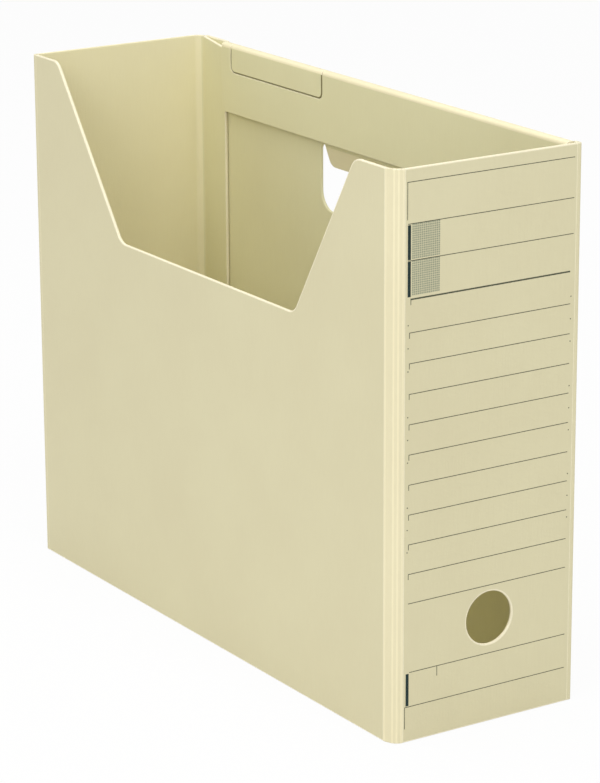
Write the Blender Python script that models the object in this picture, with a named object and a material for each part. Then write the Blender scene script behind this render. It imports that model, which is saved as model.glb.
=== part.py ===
"""A fold-flat file box of creased paperboard, open at the top.

The box is folded from one creased blank: two long sides, a labelled spine, a back and
four bottom flaps. The board between two creases is an object of its own, so that it can
turn about its crease. Metres, +Z up. The spine faces -Y, the notched near side faces -X,
and the origin is at the middle of the base of the whole object.
"""

from math import atan2, ceil, cos, pi, radians, sin, tan

import bmesh
import bpy
from mathutils import Matrix, Vector

# Outside of the box, and its board
LENGTH = 0.318
WIDTH = 0.100
HEIGHT = 0.262
BOARD = 0.0015
LAYER_GAP = 0.0003
CREASE_GAP = 0.0003

# Notch in the near side: lips are measured from the front and back faces of the box
NOTCH_DEPTH = 0.080
NOTCH_REAR_LIP = 0.0243
NOTCH_REAR_RUN = 0.060
NOTCH_FRONT_LIP = 0.0303
NOTCH_FRONT_RUN = 0.0486
NOTCH_RADIUS = 0.008

# Corners with several creases: strip widths, from the side towards the end of the box
FRONT_STRIPS = (0.0042, 0.0021, 0.0021)
REAR_STRIP = 0.0049

# Spine
FINGER_HOLE_RADIUS = 0.0125
FINGER_HOLE_RISE = 0.050
SPINE_TOP_RADIUS = 0.0025

# Hand hole in the far side, and the tongue bent out of it
HAND_HOLE_LENGTH = 0.094
HAND_HOLE_HEIGHT = 0.033
HAND_HOLE_DROP = 0.0375
HAND_HOLE_RADIUS = 0.010
HAND_HOLE_TOP_RADIUS = 0.0017
TONGUE_LENGTH = 0.087
TONGUE_DEPTH = 0.0117
TONGUE_RADIUS = 0.0035
TONGUE_LEAN = radians(18)

# Rim: the far side's top edge folded over and down inside, with a U-shaped cut for a tab
RIM_DEPTH = 0.0355
RIM_REAR_INSET = 0.0253
RIM_FRONT_INSET = 0.0047
RIM_CORNER_RADIUS = 0.0035
RIM_FOLD_RADIUS = 0.0013
TAB_LENGTH = 0.0839
TAB_DEPTH = 0.0137
TAB_INSET = 0.009
TAB_RADIUS = 0.003
CUT_WIDTH = 0.0004

# Glue flap of the back, inside the far side
GLUE_WIDTH = 0.0227
GLUE_TOP_DROP = 0.0036
GLUE_RISE = 0.006

# Bottom flaps: the far side's is outermost, then the near side's, then the two end flaps
BOTTOM_FRONT_CLEARANCE = 0.0008
BOTTOM_REAR_CLEARANCE = 0.0035
BOTTOM_CORNER_CUT = 0.010
INNER_FLAP_DEPTH = 0.047
INNER_FLAP_CUT = 0.012
END_FLAP_DEPTH = 0.025
END_FLAP_SIDE_CLEARANCE = 0.002
END_FLAP_LEAN_SHARE = 1.0
END_FLAP_FOLD_LEAN_SHARE = 2.0
FLAP_CORNER_RADIUS = 0.004

ARC_STEP = radians(12)
WELD_DISTANCE = 0.00001
QUARTER_TURN = pi / 2

# Places that follow from the sizes above
TONGUE_REACH = TONGUE_DEPTH * sin(TONGUE_LEAN)
NEAR_X = -(WIDTH + TONGUE_REACH) / 2
FAR_X = NEAR_X + WIDTH
FRONT_Y = -LENGTH / 2
BACK_Y = LENGTH / 2
LAYER = BOARD + LAYER_GAP
RIM_X = FAR_X - 2 * LAYER - BOARD
GLUE_X = FAR_X - LAYER
UNDER_RIM_Z = HEIGHT - LAYER
HAND_HOLE_TOP_Z = HEIGHT - HAND_HOLE_DROP
RIM_FRONT_Y = FRONT_Y + RIM_FRONT_INSET
RIM_REAR_Y = BACK_Y - RIM_REAR_INSET

# Planes that boards are drawn in: two drawing directions, and the normal they make
SIDE = (Vector((0, 1, 0)), Vector((0, 0, 1)))
END = (Vector((1, 0, 0)), Vector((0, 0, 1)))
FLOOR = (Vector((1, 0, 0)), Vector((0, 1, 0)))

BOARD_COLOUR = (0.78, 0.70, 0.46)
SPINE_COLOUR = (0.71, 0.64, 0.42)
INSIDE_COLOUR = (0.62, 0.56, 0.34)
CREASE_COLOUR = (0.84, 0.77, 0.54)
BOARD_ROUGHNESS = 0.55


def fillet(before, corner, after, radius):
    """Points of the arc that rounds one corner, or the corner itself."""
    if not radius:
        return [corner]
    into = Vector(before) - Vector(corner)
    out = Vector(after) - Vector(corner)
    half = into.angle(out) / 2
    reach = min(radius / tan(half), into.length / 2, out.length / 2)
    radius = reach * tan(half)
    middle = Vector(corner) + (into.normalized() + out.normalized()).normalized() * radius / sin(half)
    start = Vector(corner) + into.normalized() * reach - middle
    end = Vector(corner) + out.normalized() * reach - middle
    first = atan2(start.y, start.x)
    sweep = (atan2(end.y, end.x) - first + pi) % (2 * pi) - pi
    count = max(2, ceil(abs(sweep) / ARC_STEP))
    angles = [first + sweep * i / count for i in range(count + 1)]
    return [tuple(middle + Vector((cos(a), sin(a))) * start.length) for a in angles]


def rounded(corners):
    """An outline from (u, v, radius) corners, in order."""
    outline = []
    for i, (u, v, radius) in enumerate(corners):
        before = corners[i - 1][:2]
        after = corners[(i + 1) % len(corners)][:2]
        outline += fillet(before, (u, v), after, radius)
    return outline


def circle(u, v, radius):
    """A round outline."""
    count = ceil(2 * pi / ARC_STEP)
    turns = [2 * pi * i / count for i in range(count)]
    return [(u + radius * cos(a), v + radius * sin(a)) for a in turns]


def board_material(name, colour):
    """Matt coated paperboard."""
    material = bpy.data.materials.new(name + "_board")
    material.use_nodes = True
    shader = material.node_tree.nodes["Principled BSDF"]
    shader.inputs["Base Color"].default_value = (*colour, 1)
    shader.inputs["Roughness"].default_value = BOARD_ROUGHNESS
    shader.inputs["Metallic"].default_value = 0
    return material


def make_board(name, plane, outline, span, pivot, colour, holes=()):
    """A flat board: an outline drawn in a plane, thick over span along the plane's normal.

    The outline, the span and the pivot are all given in the box's own frame. The object's
    origin goes to the pivot, which lies on the crease that the board turns about.
    """
    curve = bpy.data.curves.new(name + "_outline", "CURVE")
    curve.dimensions = "2D"
    curve.fill_mode = "BOTH"
    curve.extrude = (span[1] - span[0]) / 2
    for ring in (outline, *holes):
        spline = curve.splines.new("POLY")
        spline.points.add(len(ring) - 1)
        for point, (u, v) in zip(spline.points, ring):
            point.co = (u, v, 0, 1)
        spline.use_cyclic_u = True
    drawn = bpy.data.objects.new(name + "_drawn", curve)
    box_collection.objects.link(drawn)
    mesh = bpy.data.meshes.new_from_object(drawn.evaluated_get(bpy.context.evaluated_depsgraph_get()))
    bpy.data.objects.remove(drawn)

    across, up = plane
    normal = across.cross(up)
    turn = Matrix((across, up, normal)).transposed().to_4x4()
    middle = Matrix.Translation(normal * (span[0] + span[1]) / 2 - Vector(pivot))
    mesh.transform(middle @ turn)
    shape = bmesh.new()
    shape.from_mesh(mesh)
    bmesh.ops.remove_doubles(shape, verts=shape.verts, dist=WELD_DISTANCE)
    bmesh.ops.recalc_face_normals(shape, faces=shape.faces)
    shape.to_mesh(mesh)
    shape.free()
    mesh.materials.clear()
    mesh.materials.append(board_material(name, colour))
    piece = bpy.data.objects.new(name, mesh)
    piece.location = pivot
    box_collection.objects.link(piece)
    return piece


def stepped(start, widths, headings):
    """Corners of a path that takes one step of each width in each heading."""
    path = [Vector(start)]
    for width, heading in zip(widths, headings):
        path.append(path[-1] + Vector((cos(heading), sin(heading))) * width)
    return path


def inner_corners(path):
    """The corners of a path, moved one board's thickness to its left along the mitre."""
    moved = []
    for before, corner, after in zip(path, path[1:], path[2:]):
        entering = (corner - before).normalized()
        leaving = (after - corner).normalized()
        left_in = Vector((-entering.y, entering.x))
        left_out = Vector((-leaving.y, leaving.x))
        mitre = (left_in + left_out).normalized()
        moved.append(corner + mitre * BOARD / mitre.dot(left_in))
    return moved


def front_corner():
    """Outer and inner crease places of the near front corner, from the side to the spine."""
    share = QUARTER_TURN / (len(FRONT_STRIPS) + 1)
    headings = [-QUARTER_TURN + share * (i + 1) for i in range(len(FRONT_STRIPS))]
    run = stepped((0, 0), FRONT_STRIPS, headings)[-1]
    outer = stepped((NEAR_X, FRONT_Y - run.y), FRONT_STRIPS, headings)
    return outer, inner_corners([Vector((NEAR_X, 0)), *outer, Vector((FAR_X, FRONT_Y))])


def rear_corner():
    """Outer and inner crease places of the far back corner, from the glue flap to the back."""
    heading = QUARTER_TURN + QUARTER_TURN / 2
    run = REAR_STRIP * sin(heading)
    outer = stepped((GLUE_X, BACK_Y - run), (REAR_STRIP,), (heading,))
    return outer, inner_corners([Vector((GLUE_X, 0)), *outer, Vector((NEAR_X, BACK_Y))])


def crease_strip(name, outer, inner, pivot):
    """A narrow upright strip between two creases, mitred where it meets its neighbours."""
    along = (outer[1] - outer[0]).normalized() * CREASE_GAP / 2
    corners = [outer[0] + along, outer[1] - along, inner[1] - along, inner[0] + along]
    outline = [tuple(corner) for corner in corners]
    make_board(name, FLOOR, outline, (0, HEIGHT), (*pivot, 0), CREASE_COLOUR)


def near_side(front_crease):
    """The near side, with its deep notch for reaching in."""
    floor_z = HEIGHT - NOTCH_DEPTH
    rear_y = BACK_Y - NOTCH_REAR_LIP
    front_y = FRONT_Y + NOTCH_FRONT_LIP
    outline = rounded([
        (front_crease.y + CREASE_GAP / 2, 0, 0),
        (BACK_Y, 0, 0),
        (BACK_Y, HEIGHT, 0),
        (rear_y, HEIGHT, NOTCH_RADIUS),
        (rear_y - NOTCH_REAR_RUN, floor_z, NOTCH_RADIUS),
        (front_y + NOTCH_FRONT_RUN, floor_z, NOTCH_RADIUS),
        (front_y, HEIGHT, NOTCH_RADIUS),
        (front_crease.y + CREASE_GAP / 2, HEIGHT, 0),
    ])
    span = (NEAR_X, NEAR_X + BOARD)
    make_board("near_side_panel", SIDE, outline, span, (*front_crease, 0), BOARD_COLOUR)


def spine(near_crease):
    """The spine, with the finger hole that the box is pulled out by."""
    near = near_crease.x + CREASE_GAP / 2
    outline = rounded([
        (near, 0, 0),
        (FAR_X, 0, 0),
        (FAR_X, HEIGHT, SPINE_TOP_RADIUS),
        (near, HEIGHT, 0),
    ])
    hole = circle((near + FAR_X) / 2, FINGER_HOLE_RISE, FINGER_HOLE_RADIUS)
    span = (-FRONT_Y - BOARD, -FRONT_Y)
    make_board("spine_panel", END, outline, span, (FAR_X, FRONT_Y, 0), SPINE_COLOUR, [hole])


def back(far_crease):
    """The back, hinged at the far back corner."""
    outline = rounded([
        (NEAR_X + LAYER, 0, 0),
        (far_crease.x - CREASE_GAP / 2, 0, 0),
        (far_crease.x - CREASE_GAP / 2, HEIGHT, 0),
        (NEAR_X + LAYER, HEIGHT, 0),
    ])
    span = (-BACK_Y, -BACK_Y + BOARD)
    make_board("back_panel", END, outline, span, (*far_crease, 0), BOARD_COLOUR)


def far_side(rear_y):
    """The far side, lower where the rim is folded over it, with the hand hole."""
    outline = rounded([
        (FRONT_Y + LAYER, 0, 0),
        (rear_y, 0, 0),
        (rear_y, HEIGHT, 0),
        (RIM_REAR_Y + LAYER_GAP, HEIGHT, 0),
        (RIM_REAR_Y + LAYER_GAP, UNDER_RIM_Z, 0),
        (RIM_FRONT_Y - LAYER_GAP, UNDER_RIM_Z, 0),
        (RIM_FRONT_Y - LAYER_GAP, HEIGHT, 0),
        (FRONT_Y + LAYER, HEIGHT, 0),
    ])
    half = HAND_HOLE_LENGTH / 2
    low = HAND_HOLE_TOP_Z - HAND_HOLE_HEIGHT
    hole = rounded([
        (-half, low, HAND_HOLE_RADIUS),
        (half, low, HAND_HOLE_RADIUS),
        (half, HAND_HOLE_TOP_Z, HAND_HOLE_TOP_RADIUS),
        (-half, HAND_HOLE_TOP_Z, HAND_HOLE_TOP_RADIUS),
    ])
    span = (FAR_X - BOARD, FAR_X)
    make_board("far_side_panel", SIDE, outline, span, (0, 0, 0), INSIDE_COLOUR, [hole])


def hand_hole_tongue():
    """The tongue at the top of the hand hole, bent outwards about the hole's upper edge."""
    half = TONGUE_LENGTH / 2
    top = HAND_HOLE_TOP_Z - CREASE_GAP
    low = HAND_HOLE_TOP_Z - TONGUE_DEPTH
    outline = rounded([
        (-half, low, TONGUE_RADIUS),
        (half, low, TONGUE_RADIUS),
        (half, top, 0),
        (-half, top, 0),
    ])
    span = (FAR_X - BOARD, FAR_X)
    pivot = (FAR_X, 0, HAND_HOLE_TOP_Z)
    tongue = make_board("hand_hole_tongue", SIDE, outline, span, pivot, INSIDE_COLOUR)
    tongue.rotation_euler = (0, -TONGUE_LEAN, 0)


def rim_fold():
    """The strip along the top of the far side between the rim's two creases."""
    outline = rounded([
        (RIM_X, UNDER_RIM_Z + LAYER_GAP, 0),
        (FAR_X, UNDER_RIM_Z + LAYER_GAP, 0),
        (FAR_X, HEIGHT, RIM_FOLD_RADIUS),
        (RIM_X, HEIGHT, RIM_FOLD_RADIUS),
    ])
    span = (-RIM_REAR_Y, -RIM_FRONT_Y)
    make_board("rim_fold_strip", END, outline, span, (0, 0, 0), CREASE_COLOUR)


def rim_flap():
    """The folded-down rim inside the far side, cut out around the index tab."""
    low = HEIGHT - RIM_DEPTH
    tab_rear = RIM_REAR_Y - TAB_INSET + CUT_WIDTH
    tab_front = RIM_REAR_Y - TAB_INSET - TAB_LENGTH - CUT_WIDTH
    tab_low = HEIGHT - TAB_DEPTH - CUT_WIDTH
    outline = rounded([
        (RIM_FRONT_Y, low, RIM_CORNER_RADIUS),
        (RIM_REAR_Y, low, RIM_CORNER_RADIUS),
        (RIM_REAR_Y, UNDER_RIM_Z, 0),
        (tab_rear, UNDER_RIM_Z, 0),
        (tab_rear, tab_low, TAB_RADIUS + CUT_WIDTH),
        (tab_front, tab_low, TAB_RADIUS + CUT_WIDTH),
        (tab_front, UNDER_RIM_Z, 0),
        (RIM_FRONT_Y, UNDER_RIM_Z, 0),
    ])
    make_board("rim_flap", SIDE, outline, (RIM_X, RIM_X + BOARD), (0, 0, 0), INSIDE_COLOUR)


def index_tab():
    """The tab cut into the rim, which lifts about the fold to stand above it."""
    rear = RIM_REAR_Y - TAB_INSET
    outline = rounded([
        (rear - TAB_LENGTH, HEIGHT - TAB_DEPTH, TAB_RADIUS),
        (rear, HEIGHT - TAB_DEPTH, TAB_RADIUS),
        (rear, UNDER_RIM_Z, 0),
        (rear - TAB_LENGTH, UNDER_RIM_Z, 0),
    ])
    pivot = (RIM_X, rear - TAB_LENGTH / 2, UNDER_RIM_Z)
    make_board("index_tab", SIDE, outline, (RIM_X, RIM_X + BOARD), pivot, INSIDE_COLOUR)


def glue_flap(crease):
    """The back's glue flap, inside the far side and under the rear end of the rim."""
    rear = crease.y - CREASE_GAP / 2
    outline = rounded([
        (rear - GLUE_WIDTH, GLUE_RISE, 0),
        (rear, GLUE_RISE, 0),
        (rear, HEIGHT, 0),
        (rear - GLUE_WIDTH, HEIGHT - GLUE_TOP_DROP, 0),
    ])
    span = (GLUE_X - BOARD, GLUE_X)
    make_board("glue_flap", SIDE, outline, span, (*crease, 0), INSIDE_COLOUR)


def bottom_outer_panel():
    """The outermost bottom flap, from the far side, which the box stands on."""
    near = NEAR_X + LAYER
    far = FAR_X - LAYER
    front = FRONT_Y + BOARD + BOTTOM_FRONT_CLEARANCE
    rear = BACK_Y - BOARD - BOTTOM_REAR_CLEARANCE
    outline = rounded([
        (near + BOTTOM_CORNER_CUT, front, FLAP_CORNER_RADIUS),
        (far, front, 0),
        (far, rear, 0),
        (near, rear, FLAP_CORNER_RADIUS),
        (near, front + BOTTOM_CORNER_CUT, FLAP_CORNER_RADIUS),
    ])
    pivot = (FAR_X, 0, 0)
    make_board("bottom_outer_panel", FLOOR, outline, (0, BOARD), pivot, INSIDE_COLOUR)


def bottom_inner_flap():
    """The near side's bottom flap, over the outer panel and under half of the width."""
    near = NEAR_X + LAYER
    tip = near + INNER_FLAP_DEPTH
    front = FRONT_Y + BOTTOM_CORNER_CUT
    rear = BACK_Y - BOARD - BOTTOM_REAR_CLEARANCE
    outline = rounded([
        (near, front, 0),
        (tip, front + INNER_FLAP_CUT, FLAP_CORNER_RADIUS),
        (tip, rear - INNER_FLAP_CUT, FLAP_CORNER_RADIUS),
        (near, rear, 0),
    ])
    span = (LAYER, LAYER + BOARD)
    make_board("bottom_inner_flap", FLOOR, outline, span, (near, 0, LAYER), INSIDE_COLOUR)


def end_flap(name, crease_y, inward, near_x, far_x, near_share, far_share):
    """A small bottom flap on an end of the box, narrower towards its tip."""
    tip_y = crease_y + inward * END_FLAP_DEPTH
    outline = rounded([
        (near_x, crease_y, 0),
        (far_x, crease_y, 0),
        (far_x - far_share * END_FLAP_DEPTH, tip_y, FLAP_CORNER_RADIUS),
        (near_x + near_share * END_FLAP_DEPTH, tip_y, FLAP_CORNER_RADIUS),
    ])
    level = 2 * LAYER
    pivot = ((near_x + far_x) / 2, crease_y, level)
    make_board(name, FLOOR, outline, (level, level + BOARD), pivot, INSIDE_COLOUR)


def end_flaps(spine_crease, back_crease):
    """The spine's and the back's bottom flaps, cut back more at the corner that closes."""
    near = NEAR_X + LAYER + END_FLAP_SIDE_CLEARANCE
    far = FAR_X - LAYER - END_FLAP_SIDE_CLEARANCE
    end_flap("front_end_flap", FRONT_Y + LAYER, 1, spine_crease.x + END_FLAP_SIDE_CLEARANCE, far,
             END_FLAP_FOLD_LEAN_SHARE, END_FLAP_LEAN_SHARE)
    end_flap("rear_end_flap", BACK_Y - LAYER, -1, near, back_crease.x - END_FLAP_SIDE_CLEARANCE,
             END_FLAP_LEAN_SHARE, END_FLAP_FOLD_LEAN_SHARE)


def make_box():
    """Every board of the box."""
    outer, inner = front_corner()
    near_side(inner[0])
    for i in range(len(FRONT_STRIPS)):
        crease_strip(f"front_corner_strip_{i + 1}", outer[i:i + 2], inner[i:i + 2], inner[i + 1])
    spine(inner[-1])
    rear_outer, rear_inner = rear_corner()
    far_side(rear_outer[0].y)
    glue_flap(rear_inner[0])
    crease_strip("rear_corner_strip", rear_outer, rear_inner, rear_inner[0])
    back(rear_inner[1])
    hand_hole_tongue()
    rim_fold()
    rim_flap()
    index_tab()
    bottom_outer_panel()
    bottom_inner_flap()
    end_flaps(inner[-1], rear_inner[1])


for old in list(bpy.data.objects):
    bpy.data.objects.remove(old)
box_collection = bpy.data.collections.new("file_box")
bpy.context.scene.collection.children.link(box_collection)
make_box()
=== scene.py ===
"""Looks of a creased paperboard file box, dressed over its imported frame.

Sizes are written in millimetres and become metres in add_piece. X runs from the near side to
the far side, Y from the spine to the back, and Z up from the floor.
"""
import bpy
import numpy as np
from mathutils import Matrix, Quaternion, Vector
from mathutils.geometry import tessellate_polygon


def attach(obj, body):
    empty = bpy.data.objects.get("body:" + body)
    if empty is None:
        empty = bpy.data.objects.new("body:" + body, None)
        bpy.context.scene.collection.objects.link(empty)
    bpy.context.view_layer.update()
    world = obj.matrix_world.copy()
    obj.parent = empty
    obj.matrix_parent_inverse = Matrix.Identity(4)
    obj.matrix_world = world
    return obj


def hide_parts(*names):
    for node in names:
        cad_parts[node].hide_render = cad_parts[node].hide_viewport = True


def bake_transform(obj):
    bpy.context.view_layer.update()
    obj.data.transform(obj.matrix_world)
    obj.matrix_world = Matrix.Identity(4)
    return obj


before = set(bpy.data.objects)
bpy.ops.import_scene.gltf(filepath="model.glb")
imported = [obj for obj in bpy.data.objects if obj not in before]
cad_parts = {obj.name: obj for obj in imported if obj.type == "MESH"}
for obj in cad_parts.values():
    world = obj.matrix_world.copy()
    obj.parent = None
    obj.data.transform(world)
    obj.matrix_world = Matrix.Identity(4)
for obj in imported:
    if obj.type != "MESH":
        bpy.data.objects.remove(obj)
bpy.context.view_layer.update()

MM = 0.001

# Faces and levels of the box
NEAR = -51.808
FAR = 48.192
FRONT = -159.0
REAR = 159.0
TOP = 262.0
BOARD = 1.5
LAYER = 1.8
NOTCH_FLOOR = 182.0
LIP = 224.5
TONGUE_LEAN = np.radians(18.0)
HOLE_CENTRE = (0.933, 50.0)
HOLE_RADIUS = 12.5

# The rim folded inside the far side, and the tab in its cut
RIM_EDGE = 43.092
UNDER_RIM = 260.2
RIM_FRONT = -154.3
RIM_REAR = 133.7
RIM_FOOT = 226.5
CUT_FRONT = 40.4
CUT_REAR = 125.1
CUT_FOOT = 247.8
TAB_FRONT = 40.95
TAB_REAR = 124.55
TAB_FOOT = 248.15

# Corner radius of an outline, rounding of a cut edge and reach of the face rows inside it
CORNER = 1.0
SOFT = 0.4
MARGIN = 0.9

# Creases: reach over each board, height of the bead and depth that its ends are sunk
LAP = 0.9
BEAD = 0.03
SUNK = 0.02
CORNER_TURN = 0.8
FLAP_TUCK = 1.2


# Outlines and solids

def unit(rows):
    """Each row divided by its length."""
    return rows / np.linalg.norm(rows, axis=-1, keepdims=True)


def rounded(corners, steps=6):
    """Closed outline through corners (a, b, radius), each turned as an arc.

    With p and q the arc's end points seen from its centre and t its turn, the point at s is
    (sin((1 - s) t) p + sin(s t) q) / sin t. The centre is radius / sin(half angle) from the
    corner, along the line that halves it.
    """
    rows = np.array([(*corner, CORNER)[:3] for corner in corners], float)
    at = rows[:, :2]
    radius = rows[:, 2:]
    back = unit(np.roll(at, 1, 0) - at)
    ahead = unit(np.roll(at, -1, 0) - at)
    half = np.arccos(np.clip((back * ahead).sum(1), -1, 1))[:, None] / 2
    centre = at + unit(back + ahead) * radius / np.sin(half)
    reach = radius / np.tan(half)
    first = (at + back * reach - centre)[:, None]
    last = (at + ahead * reach - centre)[:, None]
    turn = (np.pi - 2 * half)[:, None]
    s = np.linspace(0, 1, steps)[None, :, None]
    arc = (np.sin((1 - s) * turn) * first + np.sin(s * turn) * last) / np.sin(turn)
    return (centre[:, None] + arc).reshape(-1, 2)


def circle(centre, radius, count=72):
    """Points centre + radius (cos t, sin t), t going once round."""
    t = np.linspace(0, 2 * np.pi, count, endpoint=False)[:, None]
    return np.array(centre) + radius * np.hstack([np.cos(t), np.sin(t)])


def area(loop):
    """Half the sum of a b' - a' b over the outline's points, above 0 if it runs anticlockwise."""
    after = np.roll(loop, -1, 0)
    return (loop[:, 0] * after[:, 1] - after[:, 0] * loop[:, 1]).sum() / 2


def mitre(loop):
    """Step at each point that moves both of its edges out by one: (m + n) / (1 + m n)."""
    along = unit(np.roll(loop, -1, 0) - loop)
    out = np.stack([along[:, 1], -along[:, 0]], 1)
    before = np.roll(out, 1, 0)
    return (before + out) / (1 + (before * out).sum(1, keepdims=True))


def cut_edge(length, soft=SOFT, margin=MARGIN, steps=4, worn=1.0):
    """Rows of inset, depth and wear through an edge: a quarter circle at each face.

    Inset is soft (1 - sin t) and depth soft (1 - cos t) at the first face, and the same from
    length back at the second. The first and last rows lie on the faces, margin in from the
    edge, where the wear is 0.
    """
    t = np.linspace(0, np.pi / 2, steps)
    inset = soft * (1 - np.sin(t))
    depth = soft * (1 - np.cos(t))
    wear = np.full(steps, worn)
    outer = np.stack([inset, depth, wear], 1)
    inner = np.stack([inset, length - depth, wear], 1)[::-1]
    return np.vstack([[margin, 0, 0], outer, inner, [margin, length, 0]])


def long_edge(length, soft=0.25, margin=0.4):
    """The same for a long crease, whose wear ends a little way in from both of its ends."""
    rows = cut_edge(length, soft, margin)
    middle = len(rows) // 2
    worn_end = soft + 0.6
    rest = [[0, worn_end, 0], [0, length - worn_end, 0]]
    return np.vstack([rows[:middle], rest, rows[middle:]])


def add_piece(name, points, faces, wear, finish, body, stands_for):
    """Mesh object from whole arrays, riding on its body and standing for its CAD nodes.

    body is a body's name, which the piece rides on, or two names and a point on each for a piece
    bent between them; such a piece rides on neither body, and its names and points are not used.
    """
    mesh = bpy.data.meshes.new(name)
    mesh.from_pydata((points * MM).tolist(), [], faces)
    wear_field = mesh.attributes.new("wear", "FLOAT", "POINT")
    wear_field.data.foreach_set("value", wear.astype(np.float32))
    mesh.polygons.foreach_set("use_smooth", np.ones(len(faces), bool))
    mesh.materials.append(finish)
    piece = bpy.data.objects.new(name, mesh)
    bpy.context.scene.collection.objects.link(piece)
    if isinstance(body, tuple):
        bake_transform(piece)
    else:
        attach(piece, body)
    if stands_for:
        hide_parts(stands_for)
    return piece


def solid(name, plane, loops, profiles, finish, body, stands_for=None,
          bare_above=np.inf):
    """Board or strip: an edge profile carried round each outline, and two flat faces.

    A point is origin + (a - inset m) across + (b - inset n) up + depth inward, where (a, b) is
    on the outline, (m, n) is its mitre step and inset and depth are the profile's.
    The first outline is the outer one; the others are holes, which run the other way round.
    Where b is more than bare_above, the edge is left without wear. The flat faces are the
    outlines' triangles, turned so that they point outwards.
    """
    origin, across, up, inward = (np.array(part, float) for part in plane)
    turned_over = np.cross(across, up) @ inward > 0
    points = []
    wear = []
    faces = []
    first_ring = []
    last_ring = []
    ring_ids = []
    count = 0
    for place, (loop, profile) in enumerate(zip(loops, profiles)):
        if (area(loop) > 0) != (place == 0):
            loop = loop[::-1]
        flat = loop[:, None] - mitre(loop)[:, None] * profile[None, :, :1]
        depth = np.broadcast_to(profile[None, :, 1:2], (*flat.shape[:2], 1))
        lie = origin + flat[..., :1] * across + flat[..., 1:] * up + depth * inward
        ids = count + np.arange(flat.shape[0] * flat.shape[1]).reshape(flat.shape[:2])
        after = np.roll(ids, -1, 0)
        walls = np.stack([ids[:, :-1], ids[:, 1:], after[:, 1:], after[:, :-1]], -1)
        faces.append(walls.reshape(-1, 4))
        points.append(lie.reshape(-1, 3))
        wear.append(np.outer(loop[:, 1] < bare_above, profile[:, 2]).ravel())
        first_ring.append(flat[:, 0])
        last_ring.append(flat[:, -1])
        ring_ids.append(ids)
        count += ids.size
    lids = []
    for rings, column, facing in ((first_ring, 0, 1), (last_ring, -1, -1)):
        flat_points = np.vstack(rings)
        labels = np.concatenate([ids[:, column] for ids in ring_ids])
        outlines = [[Vector((a, b, 0)) for a, b in ring] for ring in rings]
        thirds = np.array(tessellate_polygon(outlines))
        corner = flat_points[thirds]
        left = corner[:, 1] - corner[:, 0]
        right = corner[:, 2] - corner[:, 0]
        wrong = (left[:, 0] * right[:, 1] - left[:, 1] * right[:, 0]) * facing < 0
        thirds[wrong] = thirds[wrong][:, ::-1]
        lids.append(labels[thirds])
    groups = faces + lids
    if turned_over:
        groups = [group[:, ::-1] for group in groups]
    every = [face for group in groups for face in group.tolist()]
    add_piece(name, np.vstack(points), every, np.concatenate(wear), finish, body, stands_for)


def fold_section(vertex, inner, before, after, lap, turn=None, count=9):
    """Cross-section of a crease: two curves, outer and inner, that round its corner off.

    Each is the quadratic (1 - s)^2 a + 2 s (1 - s) q + s^2 b, q being the corner, moved out by
    (BEAD + SUNK) 4 s (1 - s) - SUNK, so that it swells and runs out inside both boards.
    The curve spans both laps, or turn on each side of the corner with straight runs beyond.
    """
    turns = lap if turn is None else (turn, turn)
    s = np.linspace(0, 1, count)[:, None]
    swell = (BEAD + SUNK) * 4 * s * (1 - s) - SUNK
    before = unit(np.array(before, float))
    after = unit(np.array(after, float))
    vertex = np.array(vertex, float)
    inner = np.array(inner, float)
    away = unit(vertex - inner)

    def bend(corner, side):
        first = corner - before * turns[0]
        last = corner + after * turns[1]
        curve = (1 - s) ** 2 * first + 2 * s * (1 - s) * corner + s ** 2 * last
        curve = curve + side * away * swell
        if turn is None:
            return curve
        into = curve[0] - np.outer([lap[0] - turn, 0.05], before)
        out = curve[-1] + np.outer([0.05, lap[1] - turn], after)
        return np.vstack([into, curve, out])

    return np.vstack([bend(vertex, 1), bend(inner, -1)[::-1]])


# Node materials

class Field:
    """A number that varies over a surface; each operator adds a Math node."""

    def __init__(self, finish, socket):
        self.finish = finish
        self.socket = socket

    def math(self, operation, *values):
        sockets = dict(enumerate(values))
        node = self.finish.node("ShaderNodeMath", {"operation": operation}, sockets)
        return Field(self.finish, node.outputs[0])

    def __add__(self, other):
        return self.math("ADD", self, other)

    def __radd__(self, other):
        return self.math("ADD", other, self)

    def __sub__(self, other):
        return self.math("SUBTRACT", self, other)

    def __rsub__(self, other):
        return self.math("SUBTRACT", other, self)

    def __mul__(self, other):
        return self.math("MULTIPLY", self, other)

    def __rmul__(self, other):
        return self.math("MULTIPLY", other, self)

    def within(self, low, high):
        """0 below low, 1 above high, smooth between."""
        node = self.finish.node(
            "ShaderNodeMapRange",
            {"interpolation_type": "SMOOTHSTEP"},
            {"Value": self, "From Min": low, "From Max": high},
        )
        return Field(self.finish, node.outputs["Result"])


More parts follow.
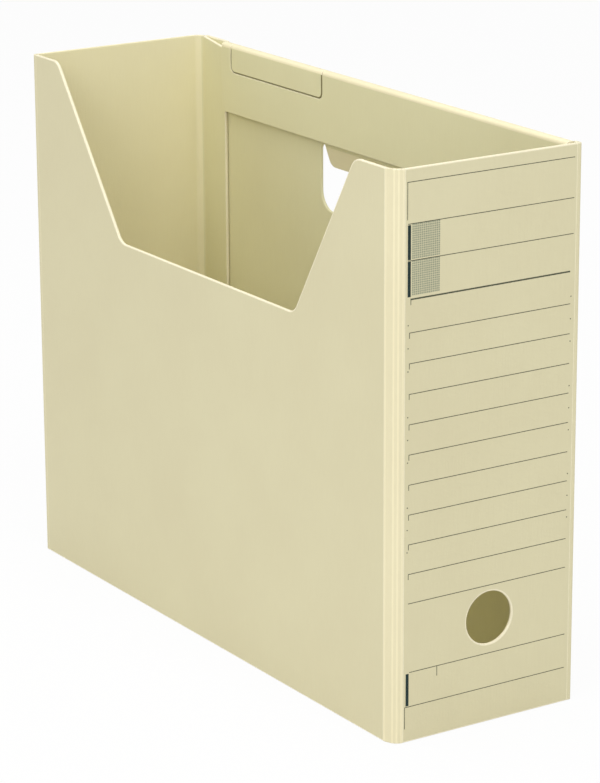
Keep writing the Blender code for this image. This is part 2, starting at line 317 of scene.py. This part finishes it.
class Finish:
    """A material's or world's node tree, with one method that makes any node."""

    def __init__(self, name, kind="materials"):
        self.material = getattr(bpy.data, kind).new(name)
        self.material.use_nodes = True
        self.tree = self.material.node_tree
        self.tree.nodes.clear()

    def node(self, kind, settings, sockets):
        """Node of a kind: its settings first, then its sockets' values or links."""
        node = self.tree.nodes.new(kind)
        for key, setting in settings.items():
            setattr(node, key, setting)
        for key, source in sockets.items():
            source = getattr(source, "socket", source)
            if isinstance(source, bpy.types.NodeSocket):
                self.tree.links.new(source, node.inputs[key])
            else:
                node.inputs[key].default_value = source
        return node

    def place(self):
        """Object coordinates, in metres."""
        return self.node("ShaderNodeTexCoord", {}, {}).outputs["Object"]

    def stretched(self, place, scale):
        """Coordinates times scale, axis by axis."""
        return self.node("ShaderNodeMapping", {}, {"Vector": place, "Scale": scale}).outputs[0]

    def cloud(self, place, scale, detail, roughness):
        """Soft noise, about 0.5 on average."""
        node = self.node(
            "ShaderNodeTexNoise", {},
            {"Vector": place, "Scale": scale, "Detail": detail, "Roughness": roughness},
        )
        return Field(self, node.outputs["Fac"])

    def attribute(self, name):
        """The mesh's own number of that name."""
        node = self.node("ShaderNodeAttribute", {"attribute_name": name}, {})
        return Field(self, node.outputs["Fac"])

    def mixed(self, factor, low, high):
        """Colour low where factor is 0 and high where it is 1."""
        node = self.node("ShaderNodeMix", {"data_type": "RGBA"}, {0: factor, 6: low, 7: high})
        return node.outputs[2]

    def surface(self, colour, roughness, height, grain, fixed):
        """Principled surface with a bump of the given height field."""
        relief = {"Height": height, "Strength": grain, "Distance": MM}
        bump = self.node("ShaderNodeBump", {}, relief)
        shader = self.node(
            "ShaderNodeBsdfPrincipled", {},
            {"Base Color": colour, "Roughness": roughness, "Normal": bump.outputs[0], **fixed},
        )
        self.node("ShaderNodeOutputMaterial", {}, {"Surface": shader.outputs[0]})
        return self.material


def tone(red, green, blue):
    """Linear colour of a display colour from 0 to 255, by the sRGB curve."""
    shown = np.array([red, green, blue], float) / 255
    linear = np.where(shown <= 0.04045, shown / 12.92, ((shown + 0.055) / 1.055) ** 2.4)
    return (*linear.tolist(), 1.0)


FIBRE_STRETCH = (260.0, 260.0, 30.0)


def coated_board(name, face, low, worn, gloss=0.52):
    """Coated paperboard: clouded cream face, upright fibres, paler worn edges.

    A wear of 1 is a worn edge and one of -1 paints the shade of a slit in a dark colour; flecks
    break the wear up.
    """
    finish = Finish(name)
    place = finish.place()
    fibres = finish.cloud(finish.stretched(place, FIBRE_STRETCH), 4.0, 3.0, 0.6)
    patches = finish.cloud(place, 16.0, 3.0, 0.55)
    flecks = finish.cloud(place, 900.0, 2.0, 0.6)
    cloud = (patches - 0.5) * 0.9 + (fibres - 0.5) * 0.35 + 0.5
    edge = finish.attribute("wear")
    wear = edge.within(0, 1) * (0.85 + (flecks - 0.5) * 0.9)
    colour = finish.mixed(cloud.within(0.2, 0.8), low, face)
    # Painted shade: where the wear is -1 the colour turns to the dark shade of a slit
    colour = finish.mixed(edge.within(0, -1), colour, PAINTED_SLIT_SHADE)
    colour = finish.mixed(wear.within(0.05, 0.95), colour, worn)
    roughness = gloss + (patches - 0.5) * 0.12 + wear * 0.16
    height = fibres * 0.5 + flecks * 0.35 + patches * 0.4
    gleam = {"Specular IOR Level": 0.32, "IOR": 1.45}
    return finish.surface(colour, roughness, height, 0.10, gleam)


def label_ink(name, colour, faded):
    """Thin matt ink, a little uneven where the fibres show through."""
    finish = Finish(name)
    place = finish.place()
    uneven = finish.cloud(place, 1400.0, 2.0, 0.6)
    shade = finish.mixed(uneven.within(0.35, 0.75), colour, faded)
    return finish.surface(shade, 0.6 + uneven * 0.1, uneven, 0.04, {"Specular IOR Level": 0.25})


CREAM = tone(222, 215, 178)
CREAM_LOW = tone(218, 210, 173)
PULP = tone(244, 236, 206)
INSIDE = tone(229, 224, 182)
INSIDE_LOW = tone(225, 219, 176)
CREASE_AND_LIT = tone(243, 234, 197)
CREASE_AND_LIT_LOW = tone(239, 229, 191)
# Painted shade: the dark colour of the slits round the index tab
PAINTED_SLIT_SHADE = tone(146, 139, 99)

outer_board = coated_board("cream_board", CREAM, CREAM_LOW, PULP)
inner_board = coated_board("inside_board", INSIDE, INSIDE_LOW, PULP)
# Painted light: a lighter copy of the board for the back panel, its strip and its crease, for the
# light that falls on the back's inner face
back_painted_light_finish = coated_board("back_board", tone(242, 235, 196), tone(238, 230, 190), PULP)
# Painted light: a lighter copy of the cream board for the front corner strips, which face the
# light
painted_light_strip_board = coated_board("painted_light_strip_board", tone(234, 225, 188), tone(229, 220, 183), PULP)
# Paler board of the creases, also used as painted light on the hand-hole tongue
crease_and_painted_light_board = coated_board("creased_and_painted_light_board", CREASE_AND_LIT, CREASE_AND_LIT_LOW, PULP, gloss=0.46)
rule_ink = label_ink("rule_ink", tone(72, 76, 60), tone(100, 102, 82))
bar_ink = label_ink("bar_ink", tone(28, 46, 44), tone(42, 62, 58))
screen_ink = label_ink("screen_ink", tone(152, 156, 133), tone(164, 167, 142))


# Boards

ALONG_X = (1, 0, 0)
ALONG_Y = (0, 1, 0)
ALONG_Z = (0, 0, 1)

board_edge = cut_edge(BOARD)
flap_edge = cut_edge(BOARD, soft=0.3, margin=0.6, worn=0.55)
faint_edge = cut_edge(BOARD, worn=0.2)
punched_edge = cut_edge(BOARD, soft=0.45, margin=1.1, steps=6)

# The tab's edge is sharp, and the painted shade of its slit ends between 0.42 and 0.55 mm from it
sharp_edge = cut_edge(BOARD, soft=0.12, margin=0.42, steps=3, worn=0.0)
slit_edge = np.vstack([[[0.55, 0, 0]], sharp_edge])
slit_edge[1:5, 2] = -1.0


def upright(x, inward, name, outlines, body, finish, edges=None, bare_above=np.inf):
    """Board in a plane of constant x, its outlines in (y, z), with one edge for each."""
    plane = ((x, 0, 0), ALONG_Y, ALONG_Z, (inward, 0, 0))
    edges = edges or [board_edge] * len(outlines)
    solid(name + "_board", plane, outlines, edges, finish, body, name, bare_above)


upright(NEAR, 1, "near_side_panel", [rounded([
    (-152.5, 0), (157.0, 0), (157.0, TOP), (134.7, TOP, 8), (74.7, NOTCH_FLOOR, 8),
    (-80.1, NOTCH_FLOOR, 8), (-128.7, TOP, 8), (-152.5, TOP),
], 12)], "near_side", outer_board)

upright(FAR, -1, "far_side_panel", [
    rounded([
        (-157.1, 1.85), (155.535, 1.85), (155.535, TOP), (134.0, TOP, 0.3),
        (134.0, UNDER_RIM, 0.3), (-154.6, UNDER_RIM, 0.3), (-154.6, TOP, 0.3), (-157.1, TOP),
    ]),
    rounded([(-47, 191.5, 10), (47, 191.5, 10), (47, LIP, 3), (-47, LIP, 3)], 14),
], "far_side", inner_board, [board_edge, faint_edge])

upright(RIM_EDGE, 1, "rim_flap", [rounded([
    (RIM_FRONT, RIM_FOOT, 3.5), (RIM_REAR, RIM_FOOT, 3.5), (RIM_REAR, UNDER_RIM),
    (CUT_REAR, UNDER_RIM), (CUT_REAR, CUT_FOOT, 3.4), (CUT_FRONT, CUT_FOOT, 3.4),
    (CUT_FRONT, UNDER_RIM), (RIM_FRONT, UNDER_RIM),
], 10)], "far_side", inner_board, [flap_edge])

upright(RIM_EDGE, 1, "index_tab", [rounded([
    (TAB_FRONT, TAB_FOOT, 3), (TAB_REAR, TAB_FOOT, 3), (TAB_REAR, UNDER_RIM, 0.3),
    (TAB_FRONT, UNDER_RIM, 0.3),
], 10)], "index_tab", inner_board, [slit_edge], UNDER_RIM - 0.25)

upright(RIM_EDGE + LAYER, 1, "glue_flap", [rounded([
    (133.4, 6), (154.75, 6), (154.75, TOP), (133.4, 258.6),
])], "far_side", inner_board)

solid(
    "spine_board", ((0, FRONT, 0), ALONG_X, ALONG_Z, ALONG_Y),
    [
        rounded([(-46.327, 0), (46.3, 0), (46.3, TOP), (-46.327, TOP)]),
        circle(HOLE_CENTRE, HOLE_RADIUS),
    ],
    [board_edge, punched_edge], outer_board, "spine", "spine_panel",
)

solid(
    "back_board", ((0, REAR, 0), ALONG_X, ALONG_Z, (0, -1, 0)),
    [rounded([(-50.008, 0), (42.1, 0), (42.1, TOP), (-50.008, TOP)])],
    [faint_edge], back_painted_light_finish, "back", "back_panel",
)

lean = np.array([np.sin(TONGUE_LEAN), 0, -np.cos(TONGUE_LEAN)])
# Painted light: the tongue takes the paler creased finish, for the light that reaches it from
# outside the hole
solid(
    "hand_hole_tongue_board",
    ((FAR, 0, LIP), ALONG_Y, -lean, (-np.cos(TONGUE_LEAN), 0, -np.sin(TONGUE_LEAN))),
    [rounded([(-43.5, -11.7, 3.5), (43.5, -11.7, 3.5), (43.5, -0.3), (-43.5, -0.3)], 10)],
    [faint_edge], crease_and_painted_light_board, "tongue", "hand_hole_tongue",
)


def flat_flap(name, z, corners, body):
    """Bottom board in a plane of constant z, its outline in (x, y)."""
    plane = ((0, 0, z), ALONG_X, ALONG_Y, ALONG_Z)
    solid(name + "_board", plane, [rounded(corners)], [board_edge], inner_board, body, name)


flat_flap("bottom_outer_panel", 0.0, [
    (-40.008, -156.7, 4), (46.25, -156.7), (46.25, 154.0), (-50.008, 154.0, 4),
    (-50.008, -146.7, 4),
], "bottom_outer")
flat_flap("bottom_inner_flap", LAYER, [
    (-50.008, -149.0), (-3.008, -137.0, 4), (-3.008, 142.0, 4), (-50.008, 154.0),
], "bottom_inner")
flat_flap("front_end_flap", 2 * LAYER, [
    (-44.477, -157.2), (44.392, -157.2), (19.392, -132.2, 4), (5.523, -132.2, 4),
], "front_end")
flat_flap("rear_end_flap", 2 * LAYER, [
    (-48.008, 157.2), (-23.008, 132.2, 4), (-9.694, 132.2, 4), (40.306, 157.2),
], "rear_end")


# Corner strips and creases

# Where the boards' faces meet at the two corners that have several creases, in (x, y)
FRONT_OUTER = np.array([
    (-51.808, -152.831), (-50.2, -156.711), (-48.716, -158.196), (-46.775, -159.0),
])
FRONT_INNER = np.array([
    (-50.308, -152.533), (-48.929, -155.862), (-47.866, -156.925), (-46.477, -157.5),
])
REAR_OUTER = np.array([(46.392, 155.535), (42.927, 159.0)])
REAR_INNER = np.array([(44.892, 154.914), (42.306, 157.5)])
strip_edge = cut_edge(BOARD, soft=0.3, margin=0.6, worn=0.0)


STRIP_INSET = 0.15
STRIP_CORNER = 0.7


def corner_strip(name, start, end, body, finish):
    """Upright strip between two creases, from outer corner start to outer corner end."""
    width = np.linalg.norm(end - start)
    left = STRIP_INSET
    right = width - STRIP_INSET
    across = unit(end - start)
    into = np.array([across[1], -across[0]])
    into = into if into @ -(start + end) > 0 else -into
    plane = ((*start, 0), (*across, 0), ALONG_Z, (*into, 0))
    outline = rounded([
        (left, 0, STRIP_CORNER), (right, 0, STRIP_CORNER), (right, TOP, STRIP_CORNER),
        (left, TOP, STRIP_CORNER),
    ])
    solid(name + "_board", plane, [outline], [strip_edge], finish, body, name)


for number in (1, 2, 3):
    corner_strip(f"front_corner_strip_{number}", FRONT_OUTER[number - 1], FRONT_OUTER[number],
                 f"front_strip_{number}", painted_light_strip_board)
corner_strip("rear_corner_strip", REAR_OUTER[0], REAR_OUTER[1], "rear_strip", back_painted_light_finish)


def crease(name, plane, start, end, bodies, section, lap, finish=None,
           stands_for=None, turn=None):
    """Rounded crease along one axis from start to end, bent between its two bodies.

    plane names the section's two axes; section holds the outer and inner corner and the
    direction of the boards before and after them.
    """
    axes = {"xy": (ALONG_X, ALONG_Y, ALONG_Z), "xz": (ALONG_X, ALONG_Z, ALONG_Y),
            "yz": (ALONG_Y, ALONG_Z, ALONG_X)}[plane]
    across, up, along = (np.array(axis, float) for axis in axes)
    outer, inner, before, after = section
    before = unit(np.array(before, float))
    after = unit(np.array(after, float))
    body = bodies
    if isinstance(bodies, tuple):
        from_point = np.array(outer) - before * lap[0]
        to_point = np.array(outer) + after * lap[1]
        body = (*bodies, (from_point[0] * across + from_point[1] * up) * MM,
                (to_point[0] * across + to_point[1] * up) * MM)
    loop = fold_section(outer, inner, before, after, lap, turn)
    solid(name, (along * start, across, up, along), [loop], [long_edge(end - start)],
          finish or crease_and_painted_light_board, body, stands_for)


front_runs = [(0, -1)] + list(unit(np.diff(FRONT_OUTER, axis=0))) + [(1, 0)]
front_bodies = [
    "near_side", ("front_strip_1", "front_strip_2"), ("front_strip_2", "front_strip_3"),
    ("front_strip_3", "spine"),
]
for index, bodies in enumerate(front_bodies):
    crease(f"front_crease_{index + 1}", "xy", 0, TOP, bodies,
           (FRONT_OUTER[index], FRONT_INNER[index], front_runs[index], front_runs[index + 1]),
           (LAP, LAP))

across_rear = REAR_OUTER[1] - REAR_OUTER[0]
crease("rear_crease_glue", "xy", 6, TOP, ("far_side", "rear_strip"),
       (REAR_OUTER[0], REAR_INNER[0], (0, 1), across_rear), (LAP, LAP), inner_board)
crease("rear_crease_back", "xy", 0, TOP, ("rear_strip", "back"),
       (REAR_OUTER[1], REAR_INNER[1], across_rear, (-1, 0)), (LAP, LAP), back_painted_light_finish)
crease("far_front_crease", "xy", 0, TOP, ("spine", "far_side"),
       ((FAR, FRONT), (FAR - BOARD, FRONT + BOARD), (1, 0), (0, 1)), (2.35, 2.35), outer_board,
       turn=CORNER_TURN)
crease("near_back_crease", "xy", 0, TOP, "near_side",
       ((NEAR, REAR), (NEAR + BOARD, REAR - BOARD), (0, 1), (1, 0)), (2.5, 2.35), outer_board,
       turn=CORNER_TURN)

crease("rim_outer_roll", "xz", -154.5, 133.9, "far_side",
       ((FAR, TOP), (FAR - BOARD, TOP - BOARD), (0, 1), (-1, 0)), (2.2, 2.7),
       stands_for="rim_fold_strip")
rim_section = ((RIM_EDGE, TOP), (RIM_EDGE + BOARD, TOP - BOARD), (-1, 0), (0, -1))
rim_lap = (2.6, 2.2)
crease("rim_roll_front", "xz", RIM_FRONT, CUT_FRONT, "far_side", rim_section, rim_lap)
crease("rim_roll_back", "xz", CUT_REAR, RIM_REAR, "far_side", rim_section, rim_lap)
crease("index_tab_roll", "xz", TAB_FRONT, TAB_REAR, ("far_side", "index_tab"), rim_section,
       rim_lap)

tongue_inner = (FAR - BOARD, LIP - BOARD * np.tan(TONGUE_LEAN / 2))
crease("tongue_crease", "xz", -43.5, 43.5, ("far_side", "tongue"),
       ((FAR, LIP), tongue_inner, (0, -1), lean[[0, 2]]), (LAP, LAP), inner_board)

crease("bottom_outer_crease", "xz", -156.6, 153.9, ("far_side", "bottom_outer"),
       ((FAR, 0), (FAR - BOARD, BOARD), (0, -1), (-1, 0)), (2.4, 2.5), outer_board,
       turn=CORNER_TURN)
crease("bottom_inner_crease", "xz", -148.9, 153.9, ("near_side", "bottom_inner"),
       ((NEAR + FLAP_TUCK, LAYER), (NEAR + BOARD, LAYER + BOARD), (0, -1), (1, 0)),
       (LAP, LAP), inner_board)
crease("front_end_crease", "yz", -44.4, 44.3, ("spine", "front_end"),
       ((FRONT + FLAP_TUCK, 2 * LAYER), (FRONT + BOARD, 2 * LAYER + BOARD), (0, -1), (1, 0)),
       (LAP, LAP), inner_board)
crease("rear_end_crease", "yz", -47.9, 40.2, ("back", "rear_end"),
       ((REAR - FLAP_TUCK, 2 * LAYER), (REAR - BOARD, 2 * LAYER + BOARD), (0, -1), (-1, 0)),
       (LAP, LAP), inner_board)


# The ruled label on the spine

# Height of the print, place of the label's middle, width of a stroke and of a bold one
INK = 0.03
LABEL_MIDDLE = -1.808
STROKE = 0.32
BOLD = 0.7


def printed(name, rows, finish):
    """Thin flat prints on the spine, one box for each row (left, right, bottom, top).

    Corner number k of a box takes its left or right by the bit 4 of k, its front or back by
    the bit 2 and its bottom or top by the bit 1.
    """
    rows = np.array(rows, float)
    bit = np.arange(8)
    x = rows[:, :2][:, bit // 4 % 2] + LABEL_MIDDLE
    y = np.broadcast_to(np.array([FRONT - INK, FRONT + INK])[bit // 2 % 2], x.shape)
    z = rows[:, 2:][:, bit % 2]
    box = np.array([
        (0, 4, 5, 1), (2, 3, 7, 6), (0, 1, 3, 2), (4, 6, 7, 5), (0, 2, 6, 4), (1, 5, 7, 3),
    ])
    faces = (box[None] + 8 * np.arange(len(rows))[:, None, None]).reshape(-1, 4)
    points = np.stack([x, y, z], -1).reshape(-1, 3)
    piece = add_piece(name, points, faces.tolist(), np.zeros(len(points)), finish, "spine", None)
    piece.data.polygons.foreach_set("use_smooth", np.zeros(len(faces), bool))


def line(z, left, right, width=STROKE):
    """Level stroke about the height z."""
    return (left, right, z - width / 2, z + width / 2)


def post(x, bottom, top, width=STROKE):
    """Upright stroke about x."""
    return (x - width / 2, x + width / 2, bottom, top)


RULES = 65.5 + 13.77 * np.arange(10)
rules = [line(255.9, -43.1, 46.3), line(237.6, -42.6, 46.3), line(221.4, -42.5, 46.3),
         line(204.3, -41.2, 44.8, BOLD), line(33.0, -40.8, 45.6), line(16.7, -43.2, 45.6)]
rules += [line(z, -41.6, 45.2) for z in RULES]
rules += [post(-41.6, z - 2.5, z) for z in RULES[1:]] + [post(-41.0, 201.8, 204.3)]
rules += [post(-42.9, 239.4, 255.9), post(-43.2, 6.4, 16.7), post(-25.8, 28.3, 33.0)]
printed("label_rules", rules, rule_ink)

printed("label_bars", [
    (-42.7, -41.1, 221.8, 237.1), (-42.7, -41.1, 205.4, 221.1), (-42.7, -41.1, 17.2, 32.5),
], bar_ink)

cell = 0.98
dot = 0.76
across_screen, up_screen = np.meshgrid(np.arange(15), np.arange(16))
left = -40.4 + cell * across_screen.ravel()
screens = []
for foot in (206.0, 222.1):
    low = foot + cell * up_screen.ravel()
    screens.append(np.stack([left, left + dot, low, low + dot], 1))
printed("label_screens", np.vstack(screens), screen_ink)

# Small square marks down both sides of the rules, left out where one would touch a rule
mark = 0.5
clear = 1.2
heights = 79.2 + 10.33 * np.arange(12)
heights = heights[np.abs(heights[:, None] - RULES[None]).min(1) > clear]
marks = [post(x, z - mark / 2, z + mark / 2, mark) for x in (-42.3, 45.5) for z in heights]
printed("label_dots", marks, rule_ink)


# Floor, light and camera

WHITE = (1, 1, 1, 1)
FLOOR_GREY = (0.8, 0.8, 0.8, 1)
FLOOR_GLOW = 0.94
FLOOR_REACH = 6.0
FLOOR_DROP = 0.3
SKY_LIGHT = 0.58


def studio_floor():
    """White floor that keeps the shadow, with part of its white given by camera rays."""
    finish = Finish("studio_floor")
    rays = finish.node("ShaderNodeLightPath", {}, {})
    seen = Field(finish, rays.outputs["Is Camera Ray"])
    diffuse = finish.node("ShaderNodeBsdfDiffuse", {}, {"Color": FLOOR_GREY})
    glow = finish.node("ShaderNodeEmission", {}, {"Color": WHITE, "Strength": 1.0})
    both = finish.node("ShaderNodeMixShader", {},
                       {0: seen * FLOOR_GLOW, 1: diffuse.outputs[0], 2: glow.outputs[0]})
    finish.node("ShaderNodeOutputMaterial", {}, {"Surface": both.outputs[0]})
    return finish.material


floor_z = -FLOOR_DROP * MM
floor_corners = [
    (-FLOOR_REACH, -FLOOR_REACH, floor_z), (FLOOR_REACH, -FLOOR_REACH, floor_z),
    (FLOOR_REACH, FLOOR_REACH, floor_z), (-FLOOR_REACH, FLOOR_REACH, floor_z),
]
floor_mesh = bpy.data.meshes.new("studio_floor")
floor_mesh.from_pydata(floor_corners, [], [(0, 1, 2, 3)])
floor_mesh.materials.append(studio_floor())
floor = bpy.data.objects.new("studio_floor", floor_mesh)
bpy.context.scene.collection.objects.link(floor)


def studio_world():
    """Even white light from all round, which the camera sees as plain white."""
    sky = Finish("studio", "worlds")
    rays = sky.node("ShaderNodeLightPath", {}, {})
    light = sky.node("ShaderNodeBackground", {}, {"Color": WHITE, "Strength": SKY_LIGHT})
    shown = sky.node("ShaderNodeBackground", {}, {"Color": WHITE, "Strength": 1.0})
    both = sky.node("ShaderNodeMixShader", {},
                    {0: rays.outputs["Is Camera Ray"], 1: light.outputs[0], 2: shown.outputs[0]})
    sky.node("ShaderNodeOutputWorld", {}, {"Surface": both.outputs[0]})
    return sky.material


bpy.context.scene.world = studio_world()


def soft_lamp(name, place, target, size, power):
    """Square lamp turned towards a point."""
    lamp = bpy.data.lights.new(name, "AREA")
    lamp.shape = "SQUARE"
    lamp.size = size
    lamp.energy = power
    lamp_object = bpy.data.objects.new(name, lamp)
    bpy.context.scene.collection.objects.link(lamp_object)
    lamp_object.location = place
    lamp_object.rotation_mode = "QUATERNION"
    lamp_object.rotation_quaternion = (Vector(target) - Vector(place)).to_track_quat("-Z", "Y")


soft_lamp("side_lamp", (-1.5, -0.8, 1.25), (0, -0.05, 0.17), size=1.0, power=9.2)
soft_lamp("front_lamp", (-0.1, -1.45, 1.9), (0, 0, 0.2), size=1.0, power=10.8)
soft_lamp("top_lamp", (-0.3, 0.0, 2.0), (0, 0, 0.13), size=1.4, power=14.0)

# The camera's place, direction, roll and lens, from the fit to the photograph
EYE = (-0.8155, -1.2651, 0.5665)
GAZE = (0.520589, 0.804330, -0.286427)
ROLL = -0.00467
LENS = 149.77

camera_data = bpy.data.cameras.new("camera")
camera_data.lens = LENS
camera_data.sensor_width = 36.0
camera_data.clip_start = 0.05
camera_data.clip_end = 50.0
camera = bpy.data.objects.new("camera", camera_data)
bpy.context.scene.collection.objects.link(camera)
camera.location = EYE
camera.rotation_mode = "QUATERNION"
level = Vector(GAZE).to_track_quat("-Z", "Y")
camera.rotation_quaternion = level @ Quaternion((0, 0, 1), ROLL)
bpy.context.scene.camera = camera
bpy.context.scene.view_settings.view_transform = "Standard"
